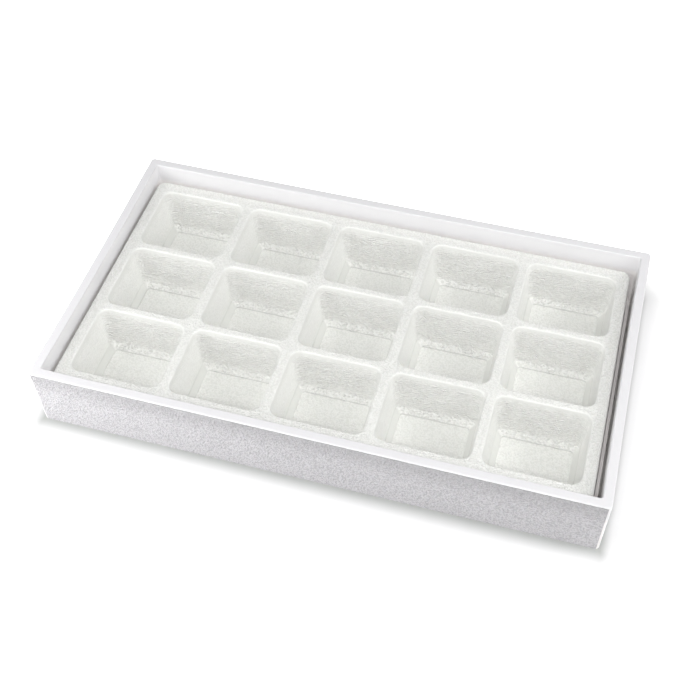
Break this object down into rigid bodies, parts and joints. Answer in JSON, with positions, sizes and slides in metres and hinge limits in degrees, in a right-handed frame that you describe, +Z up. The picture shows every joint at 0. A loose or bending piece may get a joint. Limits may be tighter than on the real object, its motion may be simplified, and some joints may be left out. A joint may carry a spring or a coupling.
{
  "type": "mineral specimen box",
  "caption": "Low rectangular tray with a flat-topped hollow wall and a loose formed insert that divides it into rounded compartments with stepped floors.",
  "frame": {"origin": "middle of the underside, on the surface that the box stands on", "axes": "+Z up; +X along the length, to the user's right; -Y towards the user"},
  "size_m": [0.3746, 0.2094, 0.0508],
  "materials": {
    "tray_plastic": "white moulded plastic, pebbled grain outside, smooth satin rim and inside",
    "insert_sheet": "off-white formed plastic sheet with a leather grain"
  },
  "bodies": {
    "tray": {"outer_tray": "tray_plastic"},
    "insert": {"compartment_insert": "insert_sheet"}
  },
  "joints": [
    {"name": "insert_lift", "type": "slide", "parent": "tray", "child": "insert", "axis": [0, 0, 1], "range_m": [0, 0.06]}
  ]
}
